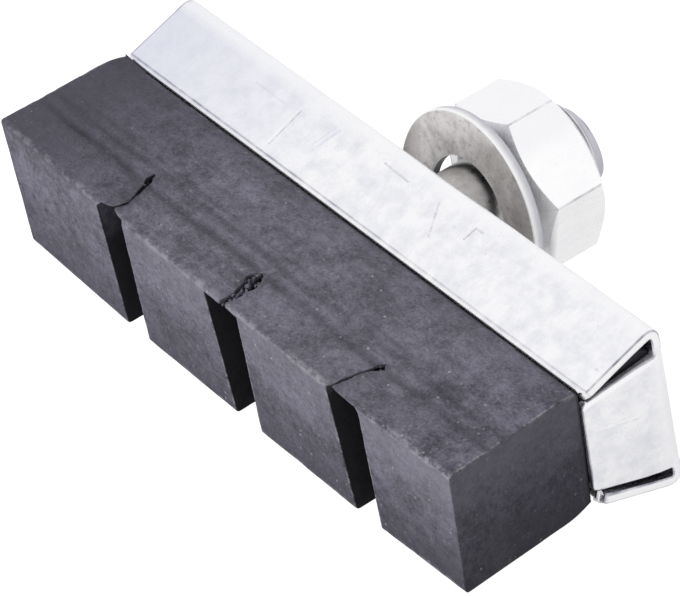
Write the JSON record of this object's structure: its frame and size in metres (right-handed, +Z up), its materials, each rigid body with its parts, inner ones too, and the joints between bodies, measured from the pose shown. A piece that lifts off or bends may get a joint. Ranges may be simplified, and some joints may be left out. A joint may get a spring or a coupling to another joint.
{
  "type": "bicycle rim brake pad",
  "caption": "Bicycle rim brake pad: a rubber block with cross slots, held in a folded steel shoe, with a threaded stud, a loose washer and a hexagon nut for the brake arm.",
  "frame": {"origin": "on the stud's axis, in the outer face of the shoe's back plate, where the brake arm is clamped", "axes": "+X along the pad, towards the end that the shoe's tab closes; +Y along the stud, from the shoe towards the nut; +Z up"},
  "size_m": [0.0468, 0.0263, 0.0128],
  "materials": {
    "rubber": "matt moulded rubber, dusty and scuffed at its edges",
    "shoe_plating": "bright zinc plating on pressed steel sheet",
    "stud_plating": "zinc plating on a rolled thread",
    "washer_plating": "dull zinc plating with a bright rim",
    "nut_plating": "bright zinc plating"
  },
  "bodies": {
    "root": {"rubber_block": "rubber", "shoe": "shoe_plating", "stud": "stud_plating", "washer": "washer_plating", "nut": "nut_plating"}
  },
  "joints": []
}
